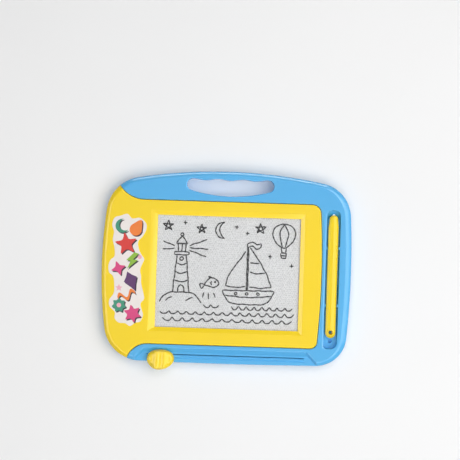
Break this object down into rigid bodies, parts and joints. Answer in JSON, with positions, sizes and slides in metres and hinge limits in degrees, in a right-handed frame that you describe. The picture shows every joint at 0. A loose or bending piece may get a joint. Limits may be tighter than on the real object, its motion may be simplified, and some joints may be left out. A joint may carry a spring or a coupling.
{
  "type": "magnetic drawing board",
  "caption": "Flat toy drawing board with a carrying handle, a magnetic panel, a sliding eraser and a magnet pen in a groove.",
  "frame": {"origin": "on the flat back face, straight under the centre of the drawing window", "axes": "+X to the right of the drawing, +Y towards the carrying handle, +Z out of the drawing face"},
  "size_m": [0.1788, 0.1436, 0.0193],
  "materials": {
    "blue_shell": "glossy moulded sky blue",
    "yellow_shell": "glossy moulded yellow",
    "clear_film": "clear glossy film",
    "panel_cells": "pale grey honeycomb cells",
    "panel_seal": "satin",
    "inner_plastic": "satin white",
    "eraser_magnet": "dark bonded magnet strip",
    "pen_magnet": "plated magnet",
    "label_paper": "glossy printed label",
    "screw_steel": "zinc plated"
  },
  "bodies": {
    "board": {"back_cover": "blue_shell", "front_housing": "blue_shell", "front_bezel": "yellow_shell", "panel_front_film": "clear_film", "panel_cell_core": "panel_cells", "panel_edge_seal": "panel_seal", "panel_back_film": "clear_film", "flange_label": "label_paper", "case_screw_1": "screw_steel", "case_screw_2": "screw_steel", "case_screw_3": "screw_steel", "case_screw_4": "screw_steel", "case_screw_5": "screw_steel", "case_screw_6": "screw_steel", "case_screw_7": "screw_steel", "case_screw_8": "screw_steel"},
    "eraser": {"eraser_carrier": "inner_plastic", "eraser_magnet": "eraser_magnet", "slider_knob": "yellow_shell"},
    "pen": {"pen_barrel": "yellow_shell", "pen_magnet": "pen_magnet"}
  },
  "joints": [
    {"name": "eraser_slide", "type": "slide", "parent": "board", "child": "eraser", "axis": [1, 0, 0], "range_m": [-0.001, 0.0936]},
    {"name": "pen_lift", "type": "slide", "parent": "board", "child": "pen", "axis": [0, 0, 1], "range_m": [0, 0.06]}
  ]
}
